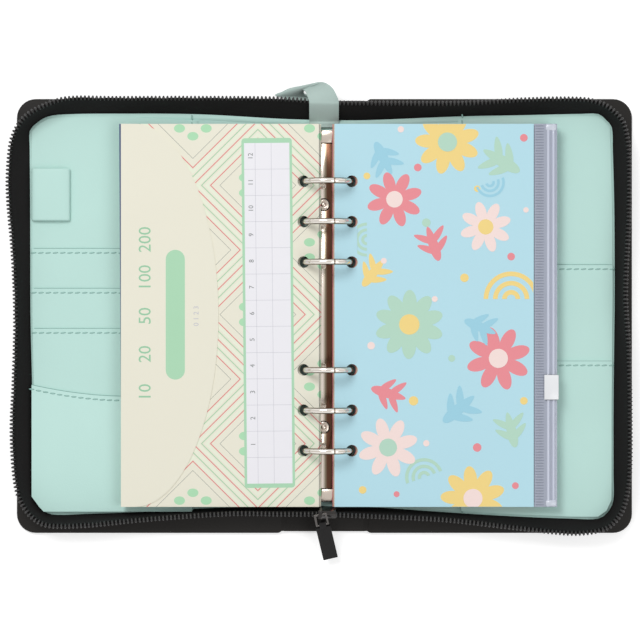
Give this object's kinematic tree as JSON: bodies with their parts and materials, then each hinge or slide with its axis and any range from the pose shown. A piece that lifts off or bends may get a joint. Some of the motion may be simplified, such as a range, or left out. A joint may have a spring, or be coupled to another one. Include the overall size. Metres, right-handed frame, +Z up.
{
  "type": "cash envelope wallet",
  "caption": "Zip-around ring wallet lying open, with paper cash envelopes and slider pouches on its rings, card pockets, a pen loop and a strap loop.",
  "frame": {"origin": "centre of the spine's outer face, on the table that the open wallet lies on", "axes": "+X across the open wallet to the pouches, +Y along the spine to the strap loop, +Z up from the table"},
  "size_m": [0.298, 0.2277, 0.0248],
  "materials": {
    "leathercloth": "black grained leathercloth over board",
    "lining": "mint leathercloth, satin",
    "zip_tape": "black woven tape",
    "zip_teeth": "black coil teeth",
    "nickel": "polished nickel plate",
    "slider_metal": "dark polished metal",
    "pull_leather": "black leathercloth tab",
    "webbing": "grey-mint suede-like strap",
    "cream_paper": "matt printed card",
    "slate_paper": "slate blue card",
    "coral_paper": "coral card",
    "yellow_paper": "yellow card",
    "green_paper": "green card",
    "printed_film": "satin printed plastic film",
    "coral_film": "satin printed plastic film",
    "clear_film": "clear flexible plastic",
    "milky_plastic": "milky translucent plastic"
  },
  "bodies": {
    "spine": {"spine_panel": "leathercloth", "spine_lining": "lining", "spine_tape_top": "zip_tape", "spine_tape_bottom": "zip_tape", "ring_plate": "nickel", "upper_rivet": "nickel", "lower_rivet": "nickel", "zip_slider": "slider_metal", "strap_loop": "webbing"},
    "left_cover": {"left_shell": "leathercloth", "left_lining": "lining", "left_zip_tape": "zip_tape", "left_zip_teeth": "zip_teeth", "left_slip_pocket": "lining", "left_card_pocket_1": "lining", "left_card_pocket_2": "lining", "left_card_pocket_3": "lining", "left_curved_pocket": "lining", "pen_loop": "lining"},
    "right_cover": {"right_shell": "leathercloth", "right_lining": "lining", "right_zip_tape": "zip_tape", "right_zip_teeth": "zip_teeth", "right_slip_pocket": "lining", "right_card_pocket_1": "lining", "right_card_pocket_2": "lining"},
    "left_leaves": {"cash_envelope_1": "cream_paper", "cash_envelope_2": "cream_paper", "cash_envelope_3": "cream_paper", "cash_envelope_4": "cream_paper", "blue_divider": "slate_paper"},
    "right_leaves": {"front_pouch": "printed_film", "front_pouch_zip_strip": "clear_film", "coral_sheet": "coral_paper", "yellow_sheet": "yellow_paper", "green_sheet": "green_paper", "rear_pouch": "coral_film", "rear_pouch_zip_strip": "clear_film"},
    "front_pouch_slider": {"front_pouch_slider": "milky_plastic"},
    "rear_pouch_slider": {"rear_pouch_slider": "milky_plastic"},
    "left_ring_half": {"left_blade": "nickel", "left_half_ring_1": "nickel", "left_half_ring_2": "nickel", "left_half_ring_3": "nickel", "left_half_ring_4": "nickel", "left_half_ring_5": "nickel", "left_half_ring_6": "nickel"},
    "right_ring_half": {"right_blade": "nickel", "right_half_ring_1": "nickel", "right_half_ring_2": "nickel", "right_half_ring_3": "nickel", "right_half_ring_4": "nickel", "right_half_ring_5": "nickel", "right_half_ring_6": "nickel"},
    "upper_lever": {"upper_lever": "nickel"},
    "lower_lever": {"lower_lever": "nickel"},
    "zip_pull": {"pull_bail": "slider_metal", "pull_tab": "pull_leather"}
  },
  "joints": [
    {"name": "left_cover_fold", "type": "hinge", "parent": "spine", "child": "left_cover", "pos_m": [-0.0195, 0, 0.003], "axis": [0, 1, 0], "range_deg": [0, 90]},
    {"name": "right_cover_fold", "type": "hinge", "parent": "spine", "child": "right_cover", "pos_m": [0.0195, 0, 0.003], "axis": [0, -1, 0], "range_deg": [0, 90]},
    {"name": "left_leaves_turn", "type": "hinge", "parent": "spine", "child": "left_leaves", "pos_m": [0.0015, 0, 0.013], "axis": [0, 1, 0], "range_deg": [0, 90]},
    {"name": "right_leaves_turn", "type": "hinge", "parent": "spine", "child": "right_leaves", "pos_m": [0.0015, 0, 0.013], "axis": [0, -1, 0], "range_deg": [0, 90]},
    {"name": "front_pouch_slide", "type": "slide", "parent": "right_leaves", "child": "front_pouch_slider", "axis": [0, 1, 0], "range_m": [-0.046, 0.113]},
    {"name": "rear_pouch_slide", "type": "slide", "parent": "right_leaves", "child": "rear_pouch_slider", "axis": [0, 1, 0], "range_m": [-0.0225, 0.1365]},
    {"name": "rings_open", "type": "hinge", "parent": "spine", "child": "left_ring_half", "pos_m": [-0.0079, 0, 0.0046], "axis": [0, -1, 0], "range_deg": [0, 9]},
    {"name": "right_rings_open", "type": "hinge", "parent": "spine", "child": "right_ring_half", "pos_m": [0.0109, 0, 0.0046], "axis": [0, 1, 0], "range_deg": [0, 9]},
    {"name": "upper_lever_press", "type": "hinge", "parent": "spine", "child": "upper_lever", "pos_m": [0.0015, 0.0832, 0.0052], "axis": [-1, 0, 0], "range_deg": [0, 18]},
    {"name": "lower_lever_press", "type": "hinge", "parent": "spine", "child": "lower_lever", "pos_m": [0.0015, -0.0832, 0.0052], "axis": [1, 0, 0], "range_deg": [0, 18]},
    {"name": "zip_pull_swing", "type": "hinge", "parent": "spine", "child": "zip_pull", "pos_m": [-0.002, -0.09343, 0.01798], "axis": [-0.9744, -0.225, 0], "range_deg": [0, 120]}
  ],
  "couplings": [
    {"joint": "left_leaves_turn", "follows": "left_cover_fold", "ratio": 1},
    {"joint": "right_leaves_turn", "follows": "right_cover_fold", "ratio": 1},
    {"joint": "right_rings_open", "follows": "rings_open", "ratio": 1},
    {"joint": "upper_lever_press", "follows": "rings_open", "ratio": 2},
    {"joint": "lower_lever_press", "follows": "rings_open", "ratio": 2}
  ]
}
